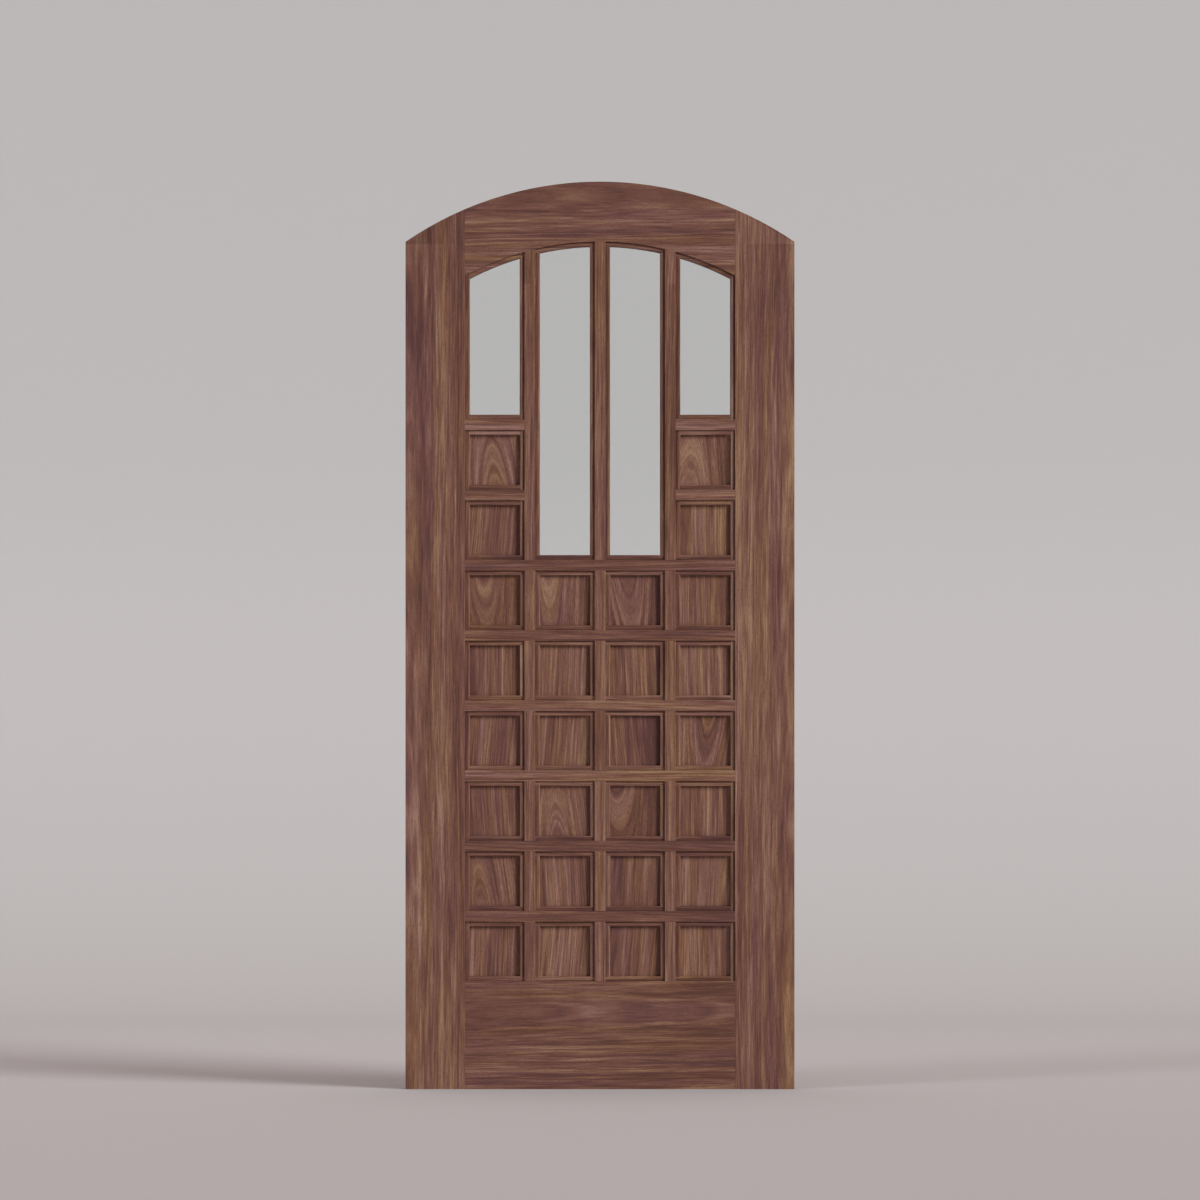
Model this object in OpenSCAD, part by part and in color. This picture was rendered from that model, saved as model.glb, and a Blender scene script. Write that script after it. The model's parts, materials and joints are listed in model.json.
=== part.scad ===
// Arched entry door leaf: stile-and-rail joinery with flat panels below and glazed lites in the head.
// Millimetres. X runs across the door, Y through its thickness (front face at -Y), Z up.
// Origin: centre of the bottom edge.

/* [Leaf] */
// Width of the leaf
door_w = 914.4; // [880:0.1:960]
// Height of the leaf at the crown of the arch
door_h = 2133.6; // [2120:0.1:2150]
// Thickness of the leaf
door_t = 44.45; // [42:0.05:50]
// Radius of the arched head
arch_r = 810; // [790:1:860]

/* [Frame members] */
// Face width of each stile
stile_w = 139.7; // [125:0.1:145]
// Face height of the bottom rail
bottom_rail_h = 254; // [230:1:260]
// Height of the top rail at the crown
crown_h = 141; // [135:1:150]
// Face width of the cross rails, side rails and muntins
bar_w = 25.4; // [24:0.1:30]
// Rows of panels that run right across
full_rows = 6; // [5:1:6]
// Rows of panels beside the centre lites
side_rows = 2; // [1:1:2]

/* [Moulding] */
// Width of the moulded edge around every opening
stick_w = 11.1; // [9:0.1:12.5]
// Depth of the square step at the face
step_d = 4; // [2:0.1:5]
// Radius of the rounded nose at the inner edge of the moulding
nose_r = 1.5; // [1:0.1:4]
// Depth of the panel faces below the frame face
panel_d = 12; // [11:0.1:14]
// Depth of the panel groove behind the face line
groove_in = 1.6; // [1.2:0.1:2.5]
// Room for movement at each panel edge
panel_gap = 1; // [0.8:0.1:1.2]

/* [Glazing] */
// Thickness of the glass
glass_t = 6; // [4:0.5:8]
// Thickness of the glazing tape on each side of the glass
tape_t = 1; // [0.5:0.1:1.5]
// Gap between the glass edge and the frame
glass_gap = 3; // [2:0.5:4]
// How far the glazing tape stops short of the sight line
tape_back = 0.6; // [0.4:0.1:2]
// Open joint at each mitre of the glazing beads
mitre_gap = 0.2; // [0.1:0.05:0.3]
// Length of a setting block
block_l = 25; // [20:1:35]

/* [Dowels] */
// Diameter of the dowels in the top and bottom rails
big_dowel_d = 16; // [12:1:16]
// Length of the dowels in the top and bottom rails
big_dowel_l = 130; // [110:1:130]
// Diameter of the dowels in the cross rails, side rails and muntin heads
dowel_d = 10; // [8:1:10]
// Length of the dowels in the cross rails, side rails and muntin heads
dowel_l = 80; // [60:1:80]
// Dowels at each end of the bottom rail
foot_dowels = 3; // [2:1:3]
// Wood left between the top rail's dowels and its curved edges
dowel_cover = 18; // [15:1:20]

/* [Hidden] */
$fn = 96;
WALNUT = [0.44, 0.31, 0.27];
WALNUT_PANEL = [0.49, 0.35, 0.29];
GLASS = [0.80, 0.86, 0.88, 0.4];
TAPE = [0.16, 0.14, 0.13];
RUBBER = [0.10, 0.10, 0.10];
BEECH = [0.82, 0.68, 0.50];
COLS = 4;                                          // columns of openings
OVER = 1;                                          // overrun of a cutter past the face it cuts
half_w = door_w / 2;
half_t = door_t / 2;
groove_y = half_t - panel_d;                       // half the thickness of a panel and of its groove
stile_x = half_w - stile_w;                        // face line of the stiles
cell = (2 * stile_x - (COLS - 1) * bar_w) / COLS;  // opening between face lines
pitch = cell + bar_w;
muntin_x = [-pitch, 0, pitch];
arch_z = door_h - arch_r;                          // height of the arch's centre
arch_in = arch_r - crown_h;                        // radius of the face line over the lites
lite_z = bottom_rail_h + full_rows * pitch;        // face line under the centre lites
side_lite_z = lite_z + side_rows * pitch;          // face line under the side lites
glass_y = -groove_y + tape_t;                      // front face of the glass
bead_y = glass_y + glass_t + tape_t;               // front face of the glazing beads
big_reach = big_dowel_l / 2;
top_dowel_low = arch_z + sqrt(pow(arch_in, 2) - pow(stile_x - big_reach, 2)) + dowel_cover;
top_dowel_high = arch_z + sqrt(pow(arch_r, 2) - pow(stile_x + big_reach, 2)) - dowel_cover;

function cell_x(col) = -stile_x + (col - 1) * pitch;
function cross_z(row) = bottom_rail_h + row * pitch - bar_w / 2;
function lite_foot(col) = (col == 1 || col == COLS) ? side_lite_z : lite_z;
function panel_cols(row) = row <= full_rows ? [for (c = [1:COLS]) c] : [1, COLS];
function arch_point(x, inset) = [x, arch_z + sqrt(pow(arch_in - inset, 2) - pow(x, 2))];
function cross_name(row) = str("cross_rail_", row);
function panel_name(row, col) = str("panel_row", row, "_col", col);
CROSS_NAMES = [for (r = [1:full_rows]) cross_name(r)];
PANEL_NAMES = [for (r = [1:full_rows + side_rows]) for (c = panel_cols(r)) panel_name(r, c)];
SIDE_NAMES = [for (r = [1:side_rows]) for (s = ["left", "right"]) str("side_rail_", r, "_", s)];

// ---- sections: the first axis points across the member, the second through the door ----

module edge_section(w) {
    translate([-w, -half_t])
        square([w, door_t]);
    translate([-OVER, -half_t + step_d])
        square([OVER + stick_w - nose_r, door_t - 2 * step_d]);
    translate([-OVER, -half_t + step_d + nose_r])
        square([OVER + stick_w, door_t - 2 * (step_d + nose_r)]);
    for (s = [-1, 1])
        translate([stick_w - nose_r, s * (half_t - step_d - nose_r)])
            circle(r = nose_r);
}

module bar_section() {
    translate([bar_w / 2, 0])
        edge_section(bar_w / 2);
    translate([-bar_w / 2, 0])
        mirror([1, 0])
            edge_section(bar_w / 2);
}

module bead_section() {
    translate([0, bead_y])
        square([stick_w - nose_r, half_t - step_d - bead_y]);
    translate([0, bead_y])
        square([stick_w, half_t - step_d - nose_r - bead_y]);
    translate([stick_w - nose_r, half_t - step_d - nose_r])
        circle(r = nose_r);
}

// ---- ways to place a section or an outline ----

module along_x(length) {
    rotate([0, -90, 0])
        linear_extrude(length, center = true)
            children();
}

module round_arch() {
    translate([0, 0, arch_z])
        rotate([-90, 0, 0])
            rotate_extrude()
                children();
}

module plate(y0, y1) {
    translate([0, y1, 0])
        rotate([90, 0, 0])
            linear_extrude(y1 - y0)
                children();
}

module block(x0, x1, y0, y1, z0, z1) {
    translate([x0, y0, z0])
        cube([x1 - x0, y1 - y0, z1 - z0]);
}

module lite_outline(col, inset) {
    intersection() {
        translate([cell_x(col) + inset, lite_foot(col) + inset])
            square([cell - 2 * inset, door_h]);
        translate([0, arch_z])
            circle(r = arch_in - inset);
    }
}

module lite_rebates() {
    for (c = [1:COLS])
        plate(-groove_y, half_t + OVER)
            lite_outline(c, 0);
}

// groove for panels and tongues: side is 1 where it opens towards +X or +Z, -1 the other way
module groove_up(x, side, z0, z1) {
    mouth = stick_w + OVER;
    block(x - (side > 0 ? groove_in : mouth), x + (side > 0 ? mouth : groove_in),
        -groove_y, groove_y, z0, z1);
}

module groove_across(z, side, x0, x1) {
    mouth = stick_w + OVER;
    block(x0, x1, -groove_y, groove_y,
        z - (side > 0 ? groove_in : mouth), z + (side > 0 ? mouth : groove_in));
}

// ---- dowels ----

module dowel_pair(z, d, length) {
    for (s = [-1, 1])
        translate([s * stile_x, 0, z])
            rotate([0, 90, 0])
                cylinder(d = d, h = length, center = true);
}

module bottom_dowels() {
    for (i = [1:foot_dowels])
        dowel_pair(bottom_rail_h * (i - 0.5) / foot_dowels, big_dowel_d, big_dowel_l);
}

module top_dowels() {
    for (z = [top_dowel_low, top_dowel_high])
        dowel_pair(z, big_dowel_d, big_dowel_l);
}

module muntin_dowels() {
    for (x = muntin_x)
        translate([x, 0, arch_z + sqrt(pow(arch_in, 2) - pow(x, 2))])
            cylinder(d = dowel_d, h = dowel_l, center = true);
}

module rail_dowels() {
    for (r = [1:full_rows + side_rows])
        dowel_pair(cross_z(r), dowel_d, dowel_l);
}

// ---- members as they leave the moulder, before their ends are coped ----

module stile_stock(side) {
    difference() {
        translate([side * stile_x, 0, 0])
            rotate([0, 0, side > 0 ? 180 : 0])
                linear_extrude(door_h)
                    edge_section(stile_w);
        groove_up(side * stile_x, -side, -OVER, side_lite_z);
    }
}

module cross_stock(row) {
    reach = stile_x + groove_in;
    z = cross_z(row);
    difference() {
        translate([0, 0, z])
            along_x(2 * reach)
                bar_section();
        groove_across(z - bar_w / 2, -1, -reach - OVER, reach + OVER);
        if (row < full_rows)
            groove_across(z + bar_w / 2, 1, -reach - OVER, reach + OVER);
        else
            for (span = [[-reach - OVER, -pitch + bar_w / 2], [-bar_w / 2, bar_w / 2],
                    [pitch - bar_w / 2, reach + OVER]])
                groove_across(z + bar_w / 2, 1, span[0], span[1]);
        lite_rebates();
    }
}

module bottom_stock() {
    reach = stile_x + groove_in;
    difference() {
        translate([0, 0, bottom_rail_h])
            along_x(2 * reach)
                edge_section(bottom_rail_h);
        groove_across(bottom_rail_h, 1, -reach - OVER, reach + OVER);
    }
}

module top_stock() {
    difference() {
        intersection() {
            round_arch()
                translate([arch_in, 0])
                    mirror([1, 0])
                        edge_section(crown_h);
            block(-stile_x, stile_x, -door_t, door_t, arch_z, door_h + OVER);
        }
        lite_rebates();
    }
}

module long_muntin_stock(i) {
    x = muntin_x[i];
    outer = sign(x);
    difference() {
        intersection() {
            translate([x, 0, lite_z - groove_in])
                linear_extrude(door_h - lite_z)
                    bar_section();
            plate(-door_t, door_t)
                translate([0, arch_z])
                    circle(r = arch_in);
        }
        if (outer != 0)
            groove_up(x + outer * bar_w / 2, outer, lite_z - groove_in - OVER, side_lite_z);
        lite_rebates();
    }
}

// ---- the pieces ----

module stile(side) {
    color(WALNUT)
        difference() {
            intersection() {
                stile_stock(side);
                plate(-door_t, door_t) {
                    translate([0, arch_z])
                        circle(r = arch_r);
                    translate([-half_w, 0])
                        square([door_w, arch_z]);
                }
            }
            lite_rebates();
            bottom_dowels();
            top_dowels();
            rail_dowels();
        }
}

module top_rail() {
    color(WALNUT)
        difference() {
            top_stock();
            stile_stock(-1);
            stile_stock(1);
            top_dowels();
            muntin_dowels();
        }
}

module bottom_rail() {
    color(WALNUT)
        difference() {
            bottom_stock();
            stile_stock(-1);
            stile_stock(1);
            bottom_dowels();
        }
}

module cross_rail(row) {
    color(WALNUT)
        difference() {
            cross_stock(row);
            stile_stock(-1);
            stile_stock(1);
            dowel_pair(cross_z(row), dowel_d, dowel_l);
        }
}

module side_rail(row, side) {
    z = cross_z(full_rows + row);
    x = side * (stile_x - cell / 2);
    reach = cell / 2 + groove_in;
    color(WALNUT)
        difference() {
            translate([x, 0, z])
                along_x(2 * reach)
                    bar_section();
            groove_across(z - bar_w / 2, -1, x - reach - OVER, x + reach + OVER);
            if (row < side_rows)
                groove_across(z + bar_w / 2, 1, x - reach - OVER, x + reach + OVER);
            lite_rebates();
            stile_stock(side);
            long_muntin_stock(side < 0 ? 0 : len(muntin_x) - 1);
            dowel_pair(z, dowel_d, dowel_l);
        }
}

module long_muntin(i) {
    color(WALNUT)
        difference() {
            long_muntin_stock(i);
            cross_stock(full_rows);
            top_stock();
            muntin_dowels();
        }
}

module short_muntins(i) {
    x = muntin_x[i];
    color(WALNUT)
        for (row = [1:full_rows]) {
            foot = bottom_rail_h + (row - 1) * pitch - groove_in;
            head = foot + cell + 2 * groove_in;
            difference() {
                translate([x, 0, foot])
                    linear_extrude(head - foot)
                        bar_section();
                for (s = [-1, 1])
                    groove_up(x + s * bar_w / 2, s, foot - OVER, head + OVER);
                if (row == 1)
                    bottom_stock();
                else
                    cross_stock(row - 1);
                cross_stock(row);
            }
        }
}

module panel(row, col) {
    lap = groove_in - panel_gap;
    z = bottom_rail_h + (row - 1) * pitch;
    color(WALNUT_PANEL)
        block(cell_x(col) - lap, cell_x(col) + cell + lap, -groove_y, groove_y, z - lap, z + cell + lap);
}

module glass(col) {
    color(GLASS)
        plate(glass_y, glass_y + glass_t)
            lite_outline(col, glass_gap);
}

// the four beads of one lite, still joined at their corners
module bead_ring(col) {
    x = cell_x(col);
    intersection() {
        union() {
            translate([x, 0, lite_foot(col)])
                linear_extrude(door_h)
                    bead_section();
            translate([x + cell, 0, lite_foot(col)])
                linear_extrude(door_h)
                    mirror([1, 0])
                        bead_section();
            translate([x + cell / 2, 0, lite_foot(col)])
                along_x(cell)
                    bead_section();
        }
        plate(-door_t, door_t)
            translate([0, arch_z])
                circle(r = arch_in);
    }
    intersection() {
        round_arch()
            translate([arch_in, 0])
                mirror([1, 0])
                    bead_section();
        block(x, x + cell, -door_t, door_t, arch_z, door_h);
    }
}

// the thin cut that parts two beads, from their outer corner through their inner one
module mitre_cut(outer, inner) {
    run = inner - outer;
    plate(bead_y - OVER, half_t)
        translate((outer + inner) / 2)
            rotate(atan2(run[1], run[0]))
                square([norm(run) + 2 * OVER, mitre_gap], center = true);
}

module glazing_beads(col) {
    x = cell_x(col);
    z = lite_foot(col);
    color(WALNUT)
        difference() {
            bead_ring(col);
            for (side = [[x, 1], [x + cell, -1]]) {
                sight = side[0] + side[1] * stick_w;
                mitre_cut([side[0], z], [sight, z + stick_w]);
                mitre_cut(arch_point(side[0], 0), arch_point(sight, stick_w));
            }
        }
}

module glazing_tape() {
    color(TAPE)
        for (c = [1:COLS], y = [-groove_y, glass_y + glass_t])
            plate(y, y + tape_t)
                difference() {
                    lite_outline(c, glass_gap);
                    lite_outline(c, stick_w - tape_back);
                }
}

module setting_blocks() {
    color(RUBBER)
        for (c = [1:COLS], t = [0.25, 0.75])
            translate([cell_x(c) + cell * t - block_l / 2, glass_y, lite_foot(c)])
                cube([block_l, glass_t, glass_gap]);
}

module dowels() {
    color(BEECH) {
        bottom_dowels();
        top_dowels();
        rail_dowels();
        muntin_dowels();
    }
}

stile(-1);  // left_stile
stile(1);  // right_stile
top_rail();
bottom_rail();
for (r = [1:full_rows])
    cross_rail(r);
for (r = [1:side_rows]) {
    side_rail(r, -1);
    side_rail(r, 1);
}
long_muntin(0);  // long_muntin_left
long_muntin(1);  // long_muntin_centre
long_muntin(2);  // long_muntin_right
short_muntins(0);  // short_muntins_left
short_muntins(1);  // short_muntins_centre
short_muntins(2);  // short_muntins_right
for (r = [1:full_rows + side_rows])
    for (c = panel_cols(r))
        panel(r, c);
for (c = [1:COLS]) {
    glass(c);
    glazing_beads(c);
}
glazing_tape();
setting_blocks();
dowels();
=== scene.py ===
"""Finish, stage and camera for an arched walnut door leaf, around its CAD frame.

Metres. X across the door, front face at -Y, Z up, origin at the centre of the bottom edge.
"""

import json
import math
import random

import bmesh
import bpy
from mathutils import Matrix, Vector


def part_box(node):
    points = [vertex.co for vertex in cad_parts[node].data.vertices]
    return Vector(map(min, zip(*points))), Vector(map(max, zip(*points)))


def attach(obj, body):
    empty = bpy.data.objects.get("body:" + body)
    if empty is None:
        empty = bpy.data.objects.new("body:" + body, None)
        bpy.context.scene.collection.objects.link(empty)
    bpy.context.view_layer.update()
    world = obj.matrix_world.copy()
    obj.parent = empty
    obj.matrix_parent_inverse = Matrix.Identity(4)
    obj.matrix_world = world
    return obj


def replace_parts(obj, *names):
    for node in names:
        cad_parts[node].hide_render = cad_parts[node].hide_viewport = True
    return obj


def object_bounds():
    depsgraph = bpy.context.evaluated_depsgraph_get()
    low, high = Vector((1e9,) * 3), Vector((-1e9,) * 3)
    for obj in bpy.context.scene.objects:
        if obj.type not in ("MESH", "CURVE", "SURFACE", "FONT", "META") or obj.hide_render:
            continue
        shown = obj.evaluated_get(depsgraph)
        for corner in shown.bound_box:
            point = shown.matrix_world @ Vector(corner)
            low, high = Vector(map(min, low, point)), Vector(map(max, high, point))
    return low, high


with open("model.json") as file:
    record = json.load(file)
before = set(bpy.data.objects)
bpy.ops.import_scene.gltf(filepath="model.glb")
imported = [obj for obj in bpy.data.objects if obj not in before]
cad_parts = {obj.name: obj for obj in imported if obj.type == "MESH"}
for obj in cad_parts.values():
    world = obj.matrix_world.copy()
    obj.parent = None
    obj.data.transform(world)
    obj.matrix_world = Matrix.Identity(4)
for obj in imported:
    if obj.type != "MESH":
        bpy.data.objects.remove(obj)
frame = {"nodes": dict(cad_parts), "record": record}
cad_low, cad_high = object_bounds()

MM = 0.001


# ---- colours and nodes ----


def srgb(code):
    """A hex sRGB colour such as 0x855E4F as linear red, green, blue and an alpha of 1."""
    channels = [(code >> shift & 255) / 255 for shift in (16, 8, 0)]
    linear = [c / 12.92 if c <= 0.04045 else ((c + 0.055) / 1.055) ** 2.4 for c in channels]
    return (*linear, 1.0)


def add(tree, kind, inputs=None, **settings):
    """Adds a node with its settings. Each input, by name or number, gets a value, or a link to a socket."""
    made = tree.nodes.new(kind)
    for name, value in settings.items():
        setattr(made, name, value)
    for key, value in (inputs or {}).items():
        if isinstance(value, bpy.types.NodeSocket):
            tree.links.new(value, made.inputs[key])
        else:
            made.inputs[key].default_value = value
    return made


def new_material(name):
    """An empty material and its node tree."""
    material = bpy.data.materials.new(name)
    material.use_nodes = True
    material.node_tree.nodes.clear()
    return material, material.node_tree


def tinted(tree, amount, colour, towards, blend="MIX"):
    """A colour mixed or multiplied by another, by an amount from 0 to 1."""
    mixed = add(tree, "ShaderNodeMix", {0: amount, 6: colour, 7: towards}, data_type="RGBA", blend_type=blend)
    return mixed.outputs[2]


# ---- walnut ----

# American black walnut, planed, sanded and oiled: a matte surface with long tan, brown and purple
# streaks that follow the growth rings, fine dark pores along the grain, and darker end grain.
# The stops run from the darkest streaks to the palest.
WALNUT_STOPS = (
    (0.24, 0x653F3A),
    (0.38, 0x7A5146),
    (0.47, 0x85594C),
    (0.56, 0x916957),
    (0.66, 0xA07865),
    (0.80, 0xB48C72),
)
PORE_COLOUR = 0x3A251F
# The end grain's colour also paints the shade in the moulding's inner corners.
END_GRAIN_AND_SHADE_COLOUR = 0x4E352C
# Each part of the figure: cycles a metre across and along the grain, the noise's detail, and its weight in
# the shade.
BANDS = (40.0, 0.5, 2.0, 0.52)
STREAKS = (150.0, 2.2, 2.0, 0.72)
RINGS = (420.0, 8.0, 2.0, 0.80)
BUNDLES = (800.0, 20.0, 1.0, 0.45)
FIBRES = (2400.0, 40.0, 1.0, 0.11)
CLOUDS = (8.0, 1.2, 2.0, 0.30)
# Tan streaks lean to yellow and others to rose, from the extractives in the heartwood.
HUES = (70.0, 1.4, 2.0)
YELLOWER = (1.01, 1.045, 0.77, 1.0)
ROSIER = (0.99, 0.985, 1.18, 1.0)
# Fibres stray sideways, by up to 12 mm over the length of a stile and up to 1 mm over a hand's length:
# cycles a metre across and along the grain, and twice the furthest they go.
FIBRE_DRIFT = (5.0, 0.6, 24.0 * MM)
FIBRE_WAVER = (40.0, 5.0, 2.0 * MM)
# Pores are dark dashes 0.25 mm wide and some 5 mm long, where a fine noise is highest.
PORES = (2600.0, 110.0, 0.0)
PORE_START, PORE_FULL = 0.62, 0.74
PORE_SHARE = 0.6
# An eased arris is rubbed a little paler than the face.
ARRIS_PALER = 0.02
# Polish varies from fibre to fibre.
ROUGHNESS_SPREAD = 0.07
# The moulding's shelf leans a little towards its inner corner, and is painted darker near that corner:
# painted shade, for the shade that falls there.
LEAN_WIDTH = 7.5 * MM
SHELF_LEAN = 0.25
PAINTED_SHADE_WIDTH = 4.5 * MM
PAINTED_SHADE_SHARE = 0.38
# End grain drinks more oil and is darker. A face is end grain where its normal is this much along the board.
END_GRAIN_SHARE = 0.6
END_GRAIN_ALONG = 0.7


def noise_at(tree, vector, figure):
    """Noise stretched along the third axis of a vector, as a figure says."""
    across, along, detail = figure[:3]
    place = add(tree, "ShaderNodeVectorMath", {0: vector, 1: (across, across, along)}, operation="MULTIPLY")
    return add(tree, "ShaderNodeTexNoise", {"Vector": place.outputs[0], "Scale": 1.0, "Detail": detail})


def bend_fibres(tree, vector, bend):
    """The vector moved sideways by slow noise, by up to half of a bend's reach."""
    across, along, reach = bend
    drift = noise_at(tree, vector, (across, along, 2.0)).outputs["Color"]
    centred = add(tree, "ShaderNodeVectorMath", {0: drift, 1: (0.5, 0.5, 0.5)}, operation="SUBTRACT")
    moved = add(
        tree,
        "ShaderNodeVectorMath",
        {0: centred.outputs[0], 1: (reach, reach, 0.0), 2: vector},
        operation="MULTIPLY_ADD",
    )
    return moved.outputs[0]


def weighed(tree, value, weight, total):
    """A value times its weight, added to a total."""
    return add(tree, "ShaderNodeMath", {0: value, 1: weight, 2: total}, operation="MULTIPLY_ADD").outputs[0]


def shelf_normal(tree, shelf):
    """The lean of the moulding's shelf, from its flat outer part down to the corner under the face."""
    inner = add(tree, "ShaderNodeMath", {0: shelf, 1: LEAN_WIDTH}, operation="MINIMUM")
    height = add(tree, "ShaderNodeMath", {0: inner.outputs[0], 1: SHELF_LEAN}, operation="MULTIPLY")
    bump = add(tree, "ShaderNodeBump", {"Strength": 1.0, "Distance": 1.0, "Height": height.outputs[0]})
    return bump.outputs[0]


def walnut(name, roughness):
    """Walnut that reads a board's own grain coordinates: metres from the pith of its log, and along it."""
    material, tree = new_material(name)
    grain = add(tree, "ShaderNodeAttribute", attribute_name="grain").outputs["Vector"]
    tone = add(tree, "ShaderNodeAttribute", attribute_name="tone").outputs["Fac"]
    end_grain = add(tree, "ShaderNodeAttribute", attribute_name="end_grain").outputs["Fac"]
    arris = add(tree, "ShaderNodeAttribute", attribute_name="arris").outputs["Fac"]
    shelf = add(tree, "ShaderNodeAttribute", attribute_name="shelf").outputs["Fac"]

    fibre = bend_fibres(tree, bend_fibres(tree, grain, FIBRE_DRIFT), FIBRE_WAVER)

    # a growth ring lies at one distance from the pith, and changes slowly along the log
    flat = add(tree, "ShaderNodeVectorMath", {0: fibre, 1: (1.0, 1.0, 0.0)}, operation="MULTIPLY")
    from_pith = add(tree, "ShaderNodeVectorMath", {0: flat.outputs[0]}, operation="LENGTH")
    along = add(tree, "ShaderNodeSeparateXYZ", {0: fibre})
    radius_and_length = {"X": from_pith.outputs["Value"], "Z": along.outputs["Z"]}
    ring = add(tree, "ShaderNodeCombineXYZ", radius_and_length).outputs[0]

    fibres = noise_at(tree, fibre, FIBRES).outputs["Fac"]
    figures = (ring, BANDS), (ring, STREAKS), (ring, RINGS), (fibre, BUNDLES), (fibre, CLOUDS)
    shade = weighed(tree, arris, ARRIS_PALER, tone)
    shade = weighed(tree, fibres, FIBRES[3], shade)
    weights = FIBRES[3]
    for place, figure in figures:
        shade = weighed(tree, noise_at(tree, place, figure).outputs["Fac"], figure[3], shade)
        weights += figure[3]
    # every noise averages a half, so this brings the sum back to a half
    shade = add(tree, "ShaderNodeMath", {0: shade, 1: weights / 2 - 0.5}, operation="SUBTRACT").outputs[0]
    ramp = add(tree, "ShaderNodeValToRGB", {"Fac": shade})
    elements = ramp.color_ramp.elements
    while len(elements) < len(WALNUT_STOPS):
        elements.new(0.5)
    for element, (position, code) in zip(elements, WALNUT_STOPS):
        element.position = position
        element.color = srgb(code)

    hue = add(
        tree,
        "ShaderNodeMapRange",
        {"Value": noise_at(tree, ring, HUES).outputs["Fac"], "From Min": 0.3, "From Max": 0.7},
    ).outputs[0]
    lean = tinted(tree, hue, ROSIER, YELLOWER)
    colour = tinted(tree, 1.0, ramp.outputs["Color"], lean, "MULTIPLY")

    pores = add(
        tree,
        "ShaderNodeMapRange",
        {
            "Value": noise_at(tree, fibre, PORES).outputs["Fac"],
            "From Min": PORE_START,
            "From Max": PORE_FULL,
            "To Max": PORE_SHARE,
        },
        interpolation_type="SMOOTHSTEP",
    ).outputs[0]
    colour = tinted(tree, pores, colour, srgb(PORE_COLOUR))
    colour = tinted(tree, end_grain, colour, srgb(END_GRAIN_AND_SHADE_COLOUR))
    # Painted shade: the shelf is darkened towards its inner corner with the end grain's colour.
    corner = add(
        tree,
        "ShaderNodeMapRange",
        {"Value": shelf, "From Max": PAINTED_SHADE_WIDTH, "To Min": PAINTED_SHADE_SHARE, "To Max": 0.0},
        interpolation_type="SMOOTHSTEP",
    ).outputs[0]
    colour = tinted(tree, corner, colour, srgb(END_GRAIN_AND_SHADE_COLOUR))

    polish = add(
        tree,
        "ShaderNodeMapRange",
        {
            "Value": fibres,
            "From Min": 0.3,
            "From Max": 0.7,
            "To Min": roughness - ROUGHNESS_SPREAD,
            "To Max": roughness + ROUGHNESS_SPREAD,
        },
    )
    relief = add(tree, "ShaderNodeMath", {0: fibres, 1: pores}, operation="SUBTRACT")
    bump = add(
        tree,
        "ShaderNodeBump",
        {
            "Strength": 0.3,
            "Distance": 0.2 * MM,
            "Height": relief.outputs[0],
            "Normal": shelf_normal(tree, shelf),
        },
    )
    shader = add(
        tree,
        "ShaderNodeBsdfPrincipled",
        {
            "Base Color": colour,
            "Roughness": polish.outputs[0],
            "Normal": bump.outputs[0],
            "Specular IOR Level": 0.35,
        },
    )
    add(tree, "ShaderNodeOutputMaterial", {"Surface": shader.outputs[0]})
    return material


# ---- other finishes ----


def clear_glass():
    """Clear float glass: polished, faintly blue-green, and it lets lamp light through."""
    material, tree = new_material("clear_float_glass")
    pane = add(
        tree,
        "ShaderNodeBsdfPrincipled",
        {"Base Color": srgb(0xFBFFFF), "Roughness": 0.0, "IOR": 1.45, "Transmission Weight": 1.0},
    )
    passed = add(tree, "ShaderNodeBsdfTransparent", {"Color": srgb(0xF8FDFE)})
    ray = add(tree, "ShaderNodeLightPath")
    mixed = add(
        tree,
        "ShaderNodeMixShader",
        {0: ray.outputs["Is Shadow Ray"], 1: pane.outputs[0], 2: passed.outputs[0]},
    )
    add(tree, "ShaderNodeOutputMaterial", {"Surface": mixed.outputs[0]})
    return material


MOTTLE_DARK = 0.82


def matte(name, code, low, high, grit):
    """A dull, mottled material with a slight tooth. Its roughness is low to high, its grit cycles a metre."""
    material, tree = new_material(name)
    place = add(tree, "ShaderNodeTexCoord").outputs["Object"]
    mottle = add(tree, "ShaderNodeTexNoise", {"Vector": place, "Scale": grit, "Detail": 3.0}).outputs["Fac"]
    dark = tuple(c * MOTTLE_DARK for c in srgb(code)[:3]) + (1.0,)
    tint = add(tree, "ShaderNodeMix", {0: mottle, 6: dark, 7: srgb(code)}, data_type="RGBA")
    polish = add(tree, "ShaderNodeMapRange", {"Value": mottle, "To Min": low, "To Max": high})
    bump = add(tree, "ShaderNodeBump", {"Strength": 0.2, "Distance": 0.1 * MM, "Height": mottle})
    shader = add(
        tree,
        "ShaderNodeBsdfPrincipled",
        {"Base Color": tint.outputs[2], "Roughness": polish.outputs[0], "Normal": bump.outputs[0]},
    )
    add(tree, "ShaderNodeOutputMaterial", {"Surface": shader.outputs[0]})
    return material


# ---- boards: each piece of wood gets its own place in a log ----

WOOD_SLOTS = {"walnut_frame", "walnut_panel", "walnut_bead"}
# Lighter or darker boards, chosen for each place in the door: added to the shade of the figure.
PANEL_TONE = {"col1": -0.05, "col2": 0.0, "col3": -0.09, "col4": 0.01}
BOARD_TONE = {
    "cross_rail_1": -0.15,
    "cross_rail_2": -0.16,
    "cross_rail_3": 0.01,
    "cross_rail_4": 0.03,
    "cross_rail_5": -0.09,
    "cross_rail_6": -0.10,
    "bottom_rail": -0.08,
    "top_rail": -0.02,
    "left_stile": -0.08,
    "right_stile": 0.02,
}


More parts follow.
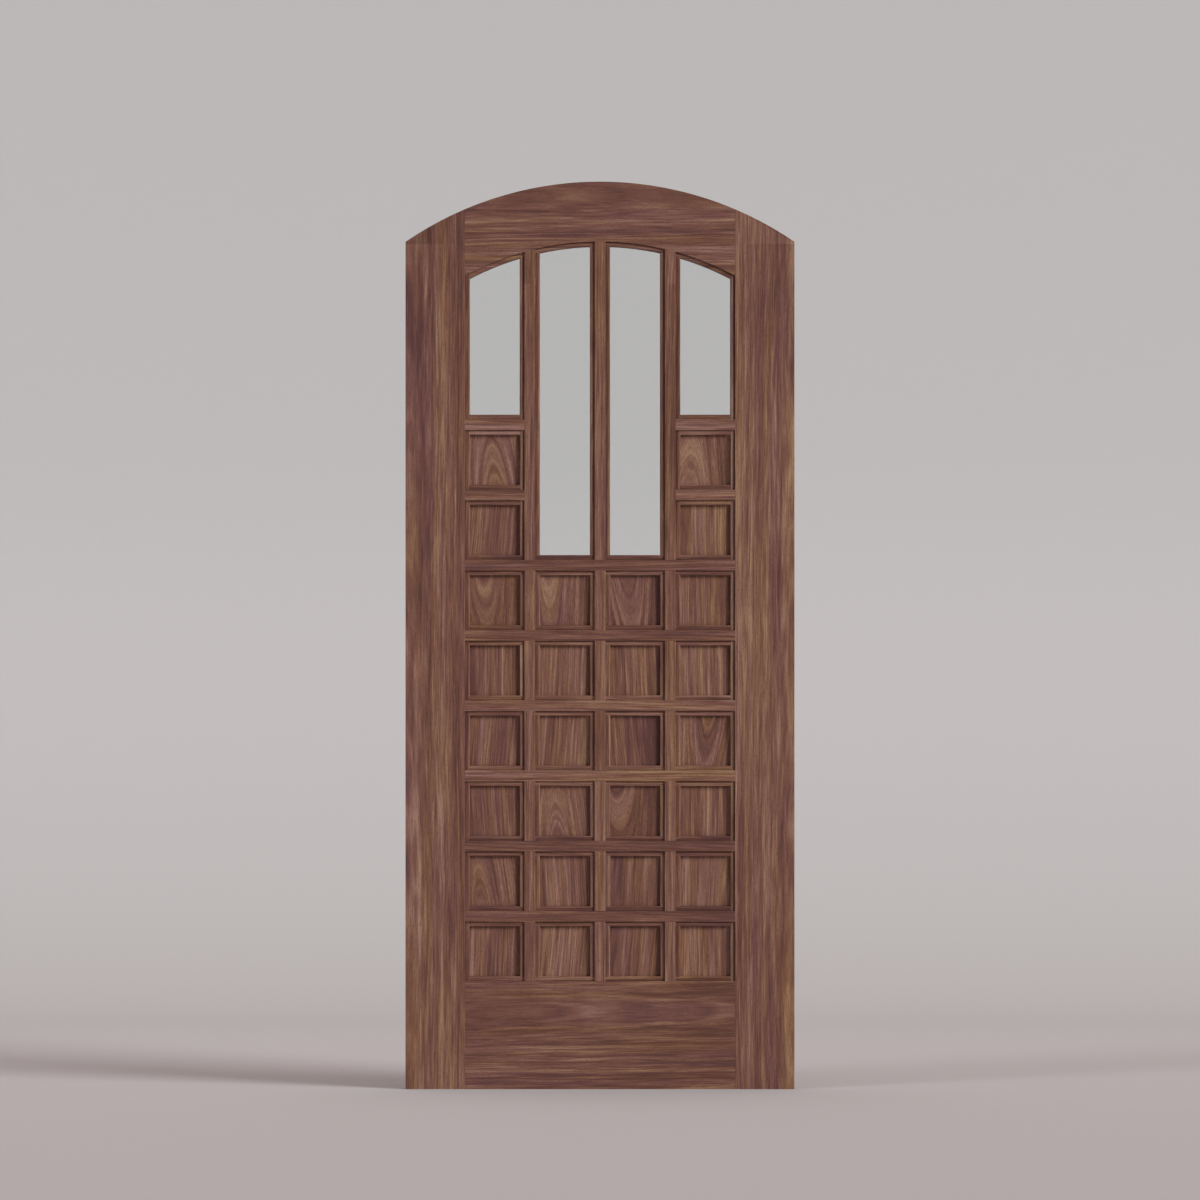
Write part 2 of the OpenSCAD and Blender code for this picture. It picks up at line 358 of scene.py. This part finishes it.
def islands(mesh):
    """The mesh's separate solids, each a list of its vertices."""
    seen = set()
    for start in mesh.verts:
        if start in seen:
            continue
        seen.add(start)
        group = [start]
        for vert in group:
            for edge in vert.link_edges:
                other = edge.other_vert(vert)
                if other not in seen:
                    seen.add(other)
                    group.append(other)
        yield group


def span(verts):
    """The lowest and highest corner of the box round some vertices."""
    low = Vector(tuple(min(v.co[i] for v in verts) for i in range(3)))
    high = Vector(tuple(max(v.co[i] for v in verts) for i in range(3)))
    return low, high


def board_grain(name, index, low, high):
    """How a board was cut: its grain runs along Z or X, and its pith lies somewhere behind its face."""
    luck = random.Random(f"{name} {index}")
    board = {
        "upright": name.startswith("panel") or high.z - low.z > high.x - low.x,
        "middle": (low + high) / 2,
        "side": luck.choice((-1, 1)),
        "aside": luck.uniform(0.05, 0.16),
        "behind": luck.uniform(0.06, 0.14),
        "lean": luck.uniform(-0.02, 0.02),
        "rise": 0.0,
        "log": luck.uniform(0.0, 40.0),
        "tone": BOARD_TONE.get(name, 0.0) + luck.uniform(-0.02, 0.02),
    }
    if name.startswith("panel"):
        board["tone"] = PANEL_TONE[name.split("_")[-1]] + luck.uniform(-0.02, 0.02)
        board["lean"] = luck.uniform(-0.10, 0.10)
        # one panel in three is cut nearer the heart, so its rings run out in long arches
        if luck.random() < 0.34:
            board["aside"] = luck.uniform(-0.02, 0.04)
            board["behind"] = luck.uniform(0.05, 0.08)
            board["rise"] = luck.choice((-1, 1)) * luck.uniform(0.06, 0.14)
    return board


def grain_place(board, co):
    """A point of a board in its log: across, outwards and along, from the pith."""
    from_middle = co - board["middle"]
    along, across = (from_middle.z, from_middle.x) if board["upright"] else (from_middle.x, from_middle.z)
    across = board["side"] * (across + board["lean"] * along) + board["aside"]
    outwards = from_middle.y + board["behind"] + board["rise"] * along
    return Vector((across, outwards, along + board["log"]))


# ---- mesh work ----

MERGE = 0.001 * MM
ARRIS = 0.4 * MM
LONGEST_FACE = 90.0 * MM
SHELF_DEPTH = 4.0 * MM
DEPTH_SLACK = 0.05 * MM
COPLANAR_ANGLE = math.radians(0.5)
ARRIS_ANGLE = math.radians(40)
SMOOTH_ANGLE = math.radians(25)
# How closely an edge has to run with the grain, and a face has to lie in the door's plane, as cosines.
WITH_GRAIN = 0.8
IN_PLANE = 0.99


def clean_copy(node):
    """A CAD node's mesh with its loose triangles merged into whole faces."""
    mesh = bmesh.new()
    mesh.from_mesh(frame["nodes"][node].data)
    bmesh.ops.remove_doubles(mesh, verts=mesh.verts, dist=MERGE)
    bmesh.ops.dissolve_limit(
        mesh, angle_limit=COPLANAR_ANGLE, verts=mesh.verts, edges=mesh.edges, delimit={"NORMAL"}
    )
    return mesh


def ease_arrises(mesh, direction):
    """Rounds those edges of the front and back faces that run with the grain, and gives the new faces."""
    sharp = []
    for edge in mesh.edges:
        if not edge.is_convex or edge.calc_face_angle() < ARRIS_ANGLE:
            continue
        run = (edge.verts[1].co - edge.verts[0].co).normalized()
        on_face = all(abs(vert.co.y) > cad_high.y - MERGE for vert in edge.verts)
        if on_face and abs(run.dot(direction)) > WITH_GRAIN:
            sharp.append(edge)
    eased = bmesh.ops.bevel(
        mesh, geom=sharp, offset=ARRIS, segments=2, profile=0.5, affect="EDGES", clamp_overlap=False
    )
    return eased["faces"]


def cut_across(mesh, direction):
    """Cuts a long board's faces across its length at equal steps, because long thin triangles shade badly."""
    low, high = span(mesh.verts)
    start, length = low.dot(direction), (high - low).dot(direction)
    cuts = int(length / LONGEST_FACE)
    for i in range(1, cuts + 1):
        bmesh.ops.bisect_plane(
            mesh,
            geom=[*mesh.verts, *mesh.edges, *mesh.faces],
            dist=MERGE,
            plane_co=direction * (start + length * i / (cuts + 1)),
            plane_no=direction,
        )


def mark_shelves(mesh, layer):
    """Writes the distance from the corner under the face on the moulding's shelves, LEAN_WIDTH elsewhere."""
    for face in mesh.faces:
        for corner in face.loops:
            corner[layer] = LEAN_WIDTH
        depth = cad_high.y - abs(face.verts[0].co.y)
        if abs(face.normal.y) < IN_PLANE or abs(depth - SHELF_DEPTH) > DEPTH_SLACK:
            continue
        steps = [e for e in face.edges if not e.is_convex and e.calc_face_angle() > ARRIS_ANGLE]
        if not steps:
            continue
        for corner in face.loops:
            corner[layer] = min(distance_to_line(corner.vert.co, *(v.co for v in e.verts)) for e in steps)


def distance_to_line(point, start, end):
    """How far a point is from the endless line through two others."""
    run = (end - start).normalized()
    off = point - start
    return (off - run * off.dot(run)).length


def show_mesh(name, data, slot):
    """Puts a finished mesh in the scene as a piece of the door."""
    piece = bpy.data.objects.new(name, data)
    bpy.context.collection.objects.link(piece)
    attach(piece, "root")
    return piece


def wood_piece(node, slot, material):
    """Shows a wooden CAD node as boards with their own grain, with eased arrises on the frame."""
    mesh = clean_copy(node)
    grain = mesh.verts.layers.float_vector.new("grain")
    tone = mesh.verts.layers.float.new("tone")
    end = mesh.faces.layers.float.new("end_grain")
    arris = mesh.faces.layers.float.new("arris")
    shelf = mesh.loops.layers.float.new("shelf")
    if slot == "walnut_frame":
        low, high = span(next(islands(mesh)))
        upright = high.z - low.z > high.x - low.x
        direction = Vector((0, 0, 1)) if upright else Vector((1, 0, 0))
        for face in ease_arrises(mesh, direction):
            face[arris] = 1.0
        cut_across(mesh, direction)
    mark_shelves(mesh, shelf)
    for index, verts in enumerate(islands(mesh)):
        board = board_grain(node, index, *span(verts))
        for vert in verts:
            vert[grain] = grain_place(board, vert.co)
            vert[tone] = board["tone"]
        axis = 2 if board["upright"] else 0
        for face in {f for v in verts for f in v.link_faces}:
            face[end] = END_GRAIN_SHARE if abs(face.normal[axis]) > END_GRAIN_ALONG else 0.0
    data = bpy.data.meshes.new(f"{node}_wood")
    mesh.to_mesh(data)
    mesh.free()
    data.set_sharp_from_angle(angle=SMOOTH_ANGLE)
    data.materials.append(material)
    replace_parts(show_mesh(f"{node}_wood", data, slot), node)


def finish_nodes():
    """Gives every CAD node its finish. Wood is shown by a copy, and the rest by the node itself."""
    finishes = {
        "walnut_frame": walnut("oiled_walnut_frame", 0.56),
        "walnut_panel": walnut("oiled_walnut_panel", 0.60),
        "walnut_bead": walnut("oiled_walnut_bead", 0.56),
        "glass": clear_glass(),
        "glazing_tape": matte("black_glazing_tape", 0x241E1B, 0.7, 0.9, 900.0),
        "setting_block": matte("rubber_setting_block", 0x181818, 0.6, 0.8, 1200.0),
        "beech_dowel": matte("turned_beech_dowel", 0xC9A77A, 0.5, 0.7, 600.0),
    }
    for part in frame["record"]["subparts"]:
        node, slot = part["node"], part["material_slot"]
        if slot in WOOD_SLOTS:
            wood_piece(node, slot, finishes[slot])
        else:
            data = frame["nodes"][node].data
            data.materials.clear()
            data.materials.append(finishes[slot])


# ---- nails along the glazing beads, on the back ----

BEAD_WIDTH = 11.1 * MM
# The curve of the arched rail's face over the lites: the height of its centre, and its radius.
ARCH_CENTRE = 1323.6 * MM
ARCH_FACE_RADIUS = 669.0 * MM
FIRST_NAIL = 22.0 * MM
HEAD_STEPS = 12
NAIL_SIZES = {"Spacing": 120.0 * MM, "Width": 3.0 * MM, "Proud": 0.25 * MM}


def bead_lines():
    """The middle line of every glazing bead on the back, short of its mitres, as a mesh of edges."""
    verts = []
    edges = []
    y = cad_high.y - SHELF_DEPTH
    radius = ARCH_FACE_RADIUS - BEAD_WIDTH / 2

    def line(points):
        """Adds a run of edges through points given as x and z."""
        first = len(verts)
        verts.extend((x, y, z) for x, z in points)
        edges.extend((i, i + 1) for i in range(first, len(verts) - 1))

    def head(x):
        """How high the curved head bead's middle is at x."""
        return ARCH_CENTRE + math.sqrt(radius**2 - x**2)

    for column in range(1, 5):
        low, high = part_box(f"glazing_beads_col{column}")
        left, right = low[0] + BEAD_WIDTH / 2, high[0] - BEAD_WIDTH / 2
        foot = low[2] + BEAD_WIDTH / 2
        line([(left + FIRST_NAIL, foot), (right - FIRST_NAIL, foot)])
        for x in (left, right):
            line([(x, foot + FIRST_NAIL), (x, head(x) - FIRST_NAIL)])
        first, run = left + FIRST_NAIL, right - left - 2 * FIRST_NAIL
        across = [first + run * i / HEAD_STEPS for i in range(HEAD_STEPS + 1)]
        line([(x, head(x)) for x in across])
    data = bpy.data.meshes.new("bead_lines")
    data.from_pydata(verts, edges, [])
    return data


def nail_tree(filler):
    """Spaces filled nail holes evenly along each line of a mesh: low domes, a little proud of the wood."""
    tree = bpy.data.node_groups.new("filled_nail_holes", "GeometryNodeTree")
    face = tree.interface
    face.new_socket("Lines", in_out="INPUT", socket_type="NodeSocketGeometry")
    for name in ("Spacing", "Width", "Proud"):
        face.new_socket(name, in_out="INPUT", socket_type="NodeSocketFloat")
    face.new_socket("Nails", in_out="OUTPUT", socket_type="NodeSocketGeometry")
    given = add(tree, "NodeGroupInput")
    lines = add(tree, "GeometryNodeMeshToCurve", {"Mesh": given.outputs["Lines"]})
    spots = add(
        tree,
        "GeometryNodeResampleCurve",
        {"Curve": lines.outputs[0], "Length": given.outputs["Spacing"]},
        mode="LENGTH",
    )
    ball = add(tree, "GeometryNodeMeshUVSphere", {"Segments": 14, "Rings": 8, "Radius": 1.0})
    half = add(tree, "ShaderNodeMath", {0: given.outputs["Width"], 1: 0.5}, operation="MULTIPLY").outputs[0]
    size = add(tree, "ShaderNodeCombineXYZ", {"X": half, "Y": given.outputs["Proud"], "Z": half})
    placed = add(
        tree,
        "GeometryNodeInstanceOnPoints",
        {"Points": spots.outputs[0], "Instance": ball.outputs[0], "Scale": size.outputs[0]},
    )
    real = add(tree, "GeometryNodeRealizeInstances", {0: placed.outputs[0]})
    coated = add(tree, "GeometryNodeSetMaterial", {"Geometry": real.outputs[0], "Material": filler})
    add(tree, "NodeGroupOutput", {0: coated.outputs[0]})
    return tree


def bead_nails():
    """Shows the filled nail holes of all the glazing beads as one mesh."""
    filler = matte("wood_filler", 0x4A3027, 0.7, 0.85, 2500.0)
    tree = nail_tree(filler)
    rows = bpy.data.objects.new("bead_rows", bead_lines())
    bpy.context.collection.objects.link(rows)
    nails = rows.modifiers.new("nails", "NODES")
    nails.node_group = tree
    for socket in tree.interface.items_tree:
        if socket.name in NAIL_SIZES:
            nails[socket.identifier] = NAIL_SIZES[socket.name]
    seen = rows.evaluated_get(bpy.context.evaluated_depsgraph_get())
    data = bpy.data.meshes.new_from_object(seen)
    data.name = "bead_nail_holes"
    data.shade_smooth()
    bpy.data.objects.remove(rows)
    show_mesh("bead_nail_holes", data, "walnut_bead")


finish_nodes()
bead_nails()


# ---- stage ----

# The backdrop paper is painted a mid grey on the floor and paler up the curve to the wall: painted light, for
# the studio light being brighter up the wall than on the floor.
FLOOR_GREY = 0xA2A4A4
WALL_GREY = 0xC8C8C8
SWEEP_RADIUS = 1.6
SWEEP_STEPS = 24
SWEEP_HALF_WIDTH = 16.0
SWEEP_FRONT, SWEEP_BACK, SWEEP_TOP = -24.0, 4.2, 8.0
SENSOR_WIDTH = 36.0
CAMERA_DISTANCE = 16.0
CAMERA_HEIGHT = 1.150
VIEW_WIDTH = 2.821
# Pale tints of the lamps and the room, as linear red, green and blue.
WARM_WHITE = (1.0, 0.985, 0.97)
COOL_WHITE = (0.97, 0.985, 1.0)
ROSE_WHITE = (1.0, 0.68, 0.67)


def backdrop_paper():
    """Matte studio paper, seen from its front only, so it never hides the door."""
    material, tree = new_material("backdrop_paper_painted_falloff")
    place = add(tree, "ShaderNodeSeparateXYZ", {0: add(tree, "ShaderNodeTexCoord").outputs["Object"]})
    height = add(tree, "ShaderNodeMapRange", {"Value": place.outputs["Z"], "From Max": SWEEP_RADIUS})
    # Painted light: the paper's grey grows paler with height.
    grey = tinted(tree, height.outputs[0], srgb(FLOOR_GREY), srgb(WALL_GREY))
    paper = add(tree, "ShaderNodeBsdfDiffuse", {"Color": grey})
    gone = add(tree, "ShaderNodeBsdfTransparent")
    side = add(tree, "ShaderNodeNewGeometry").outputs["Backfacing"]
    mixed = add(tree, "ShaderNodeMixShader", {0: side, 1: paper.outputs[0], 2: gone.outputs[0]})
    add(tree, "ShaderNodeOutputMaterial", {"Surface": mixed.outputs[0]})
    return material


def studio_sweep():
    """A floor that curves up into a wall behind the door."""
    radius = SWEEP_RADIUS
    profile = [(SWEEP_FRONT, 0.0)]
    profile += [
        (SWEEP_BACK - radius + radius * math.sin(a), radius - radius * math.cos(a))
        for a in (math.pi / 2 * i / SWEEP_STEPS for i in range(SWEEP_STEPS + 1))
    ]
    profile += [(SWEEP_BACK, SWEEP_TOP)]
    verts = [(x, y, z) for y, z in profile for x in (-SWEEP_HALF_WIDTH, SWEEP_HALF_WIDTH)]
    faces = [(2 * i, 2 * i + 1, 2 * i + 3, 2 * i + 2) for i in range(len(profile) - 1)]
    data = bpy.data.meshes.new("studio_sweep")
    data.from_pydata(verts, [], faces)
    data.shade_smooth()
    data.materials.append(backdrop_paper())
    sweep = bpy.data.objects.new("studio_sweep", data)
    bpy.context.collection.objects.link(sweep)
    return sweep


def sun(name, travel, strength, softness, colour, only=None):
    """A soft lamp. Softness is its width in degrees, and only is the collection it lights, None for all."""
    data = bpy.data.lights.new(name, "SUN")
    data.energy = strength
    data.angle = math.radians(softness)
    data.color = colour
    lamp = bpy.data.objects.new(name, data)
    lamp.rotation_mode = "QUATERNION"
    lamp.rotation_quaternion = Vector(travel).to_track_quat("-Z", "Y")
    lamp.location = -5 * Vector(travel)
    lamp.light_linking.receiver_collection = only
    bpy.context.collection.objects.link(lamp)


def studio_lights(sweep):
    """A broad key light high on the right, and a cool and a rose lamp that light only the backdrop."""
    backdrop = bpy.data.collections.new("backdrop")
    backdrop.objects.link(sweep)
    sun("key_light", (-1.6, 1.0, -0.98), 3.05, 26.0, WARM_WHITE)
    sun("backdrop_left_light", (1.45, 1.0, -0.95), 0.77, 16.0, COOL_WHITE, backdrop)
    sun("backdrop_top_light", (0.0, 0.0, -1.0), 1.6, 40.0, ROSE_WHITE, backdrop)
    world = bpy.data.worlds.new("studio_room")
    world.use_nodes = True
    world.node_tree.nodes.clear()
    light = add(world.node_tree, "ShaderNodeBackground", {"Color": (*COOL_WHITE, 1.0), "Strength": 0.10})
    add(world.node_tree, "ShaderNodeOutputWorld", {"Surface": light.outputs[0]})
    bpy.context.scene.world = world


def front_camera():
    """A long lens 16 m in front of the door, level, a little above its middle."""
    data = bpy.data.cameras.new("front_camera")
    data.sensor_width = SENSOR_WIDTH
    data.lens = SENSOR_WIDTH * (CAMERA_DISTANCE + cad_low.y) / VIEW_WIDTH
    data.clip_end = 100.0
    camera = bpy.data.objects.new("front_camera", data)
    camera.location = (0.0, -CAMERA_DISTANCE, CAMERA_HEIGHT)
    camera.rotation_euler = (math.pi / 2, 0.0, 0.0)
    bpy.context.collection.objects.link(camera)
    bpy.context.scene.camera = camera


studio_lights(studio_sweep())
front_camera()
bpy.context.scene.view_settings.view_transform = "Standard"
